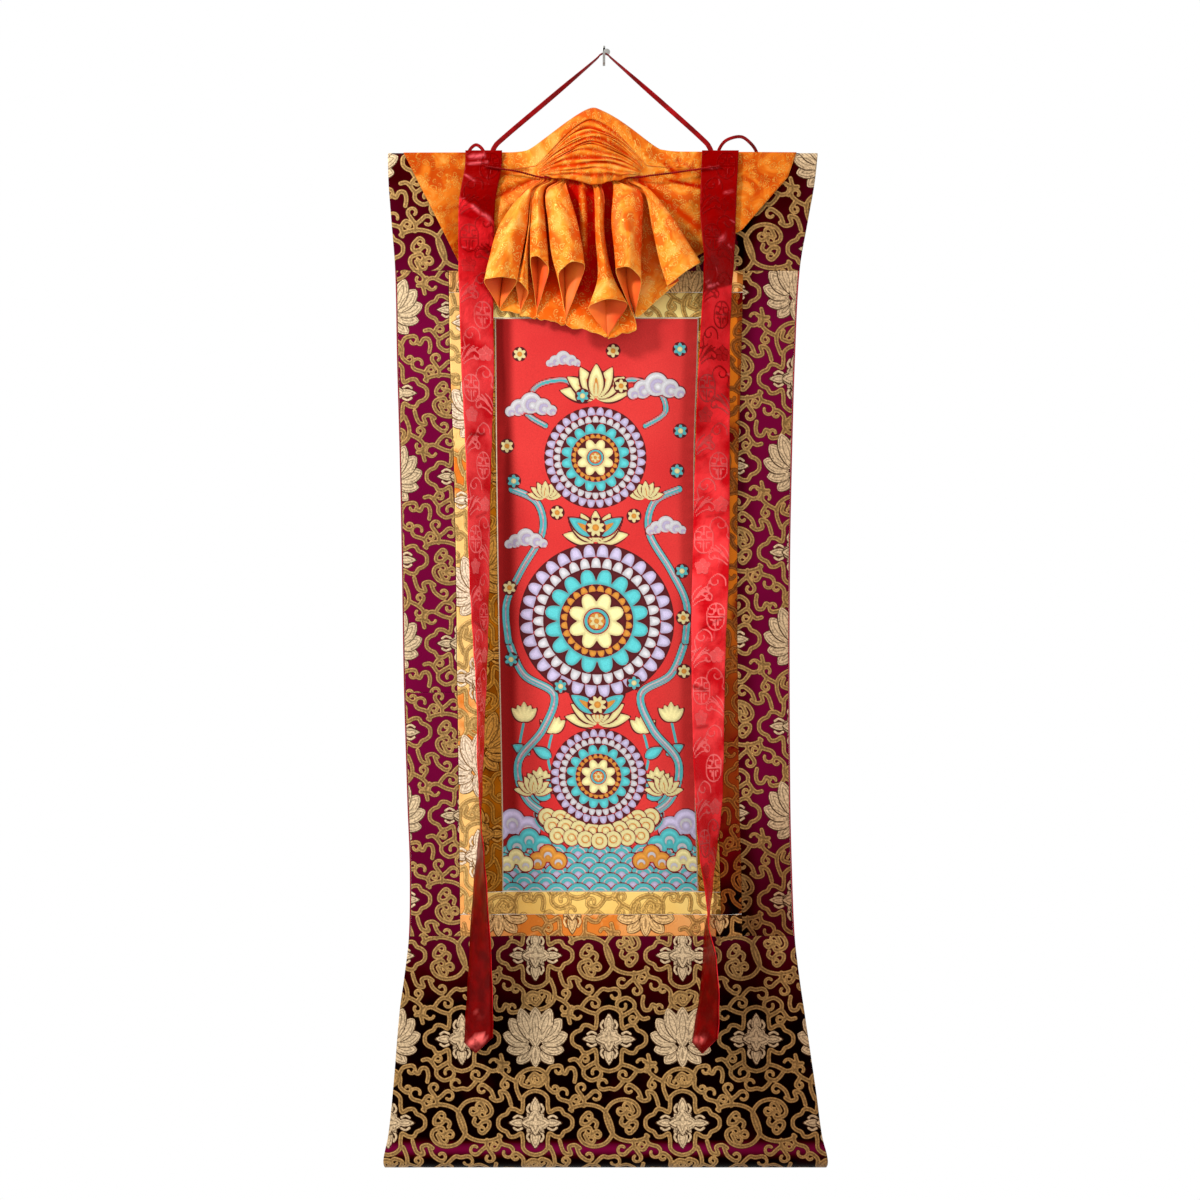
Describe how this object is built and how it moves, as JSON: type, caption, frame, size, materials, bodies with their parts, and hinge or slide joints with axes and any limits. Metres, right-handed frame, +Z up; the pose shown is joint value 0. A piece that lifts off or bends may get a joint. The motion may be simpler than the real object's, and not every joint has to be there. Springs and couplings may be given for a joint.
{
  "type": "thangka scroll painting with rods and wall hook",
  "caption": "Hanging cloth scroll with a painted centre, gold borders and brocade panels, a gathered silk veil and red ribbons, held by a narrow ribbon on a small wall hook.",
  "frame": {"origin": "on the back face of the wall hook, where it meets the wall", "axes": "+Z up, +Y into the wall; the picture faces -Y and +X is to the viewer's right"},
  "size_m": [0.5322, 0.0793, 1.3516],
  "materials": {
    "wine_brocade": "satin weave with raised gold thread",
    "orange_gold_brocade": "satin weave with raised gold thread",
    "yellow_gold_brocade": "satin weave with raised gold thread",
    "painted_canvas": "matt mineral paint on primed cotton",
    "red_edging": "satin",
    "veil_silk": "figured silk",
    "ribbon_silk": "figured satin",
    "hanging_ribbon_silk": "plain ribbon",
    "rod_wood": "plain wood",
    "hook_steel": "plain steel"
  },
  "bodies": {
    "root": {"brocade_top": "wine_brocade", "brocade_foot": "wine_brocade", "brocade_left_upper": "wine_brocade", "brocade_left_lower": "wine_brocade", "brocade_right": "wine_brocade", "edging_left": "red_edging", "edging_right": "red_edging", "outer_border_top": "orange_gold_brocade", "outer_border_foot": "orange_gold_brocade", "outer_border_left": "orange_gold_brocade", "outer_border_right": "orange_gold_brocade", "inner_border_top": "yellow_gold_brocade", "inner_border_foot": "yellow_gold_brocade", "inner_border_left": "yellow_gold_brocade", "inner_border_right": "yellow_gold_brocade", "painted_cloth": "painted_canvas", "top_rod": "rod_wood", "foot_rod": "rod_wood", "wall_hook": "hook_steel", "hook_nail": "hook_steel", "ribbon_left": "ribbon_silk", "ribbon_right": "ribbon_silk", "hanging_ribbon": "hanging_ribbon_silk", "loop_left": "hanging_ribbon_silk", "loop_right": "hanging_ribbon_silk", "tie_cord": "hanging_ribbon_silk", "veil": "veil_silk"}
  },
  "joints": []
}
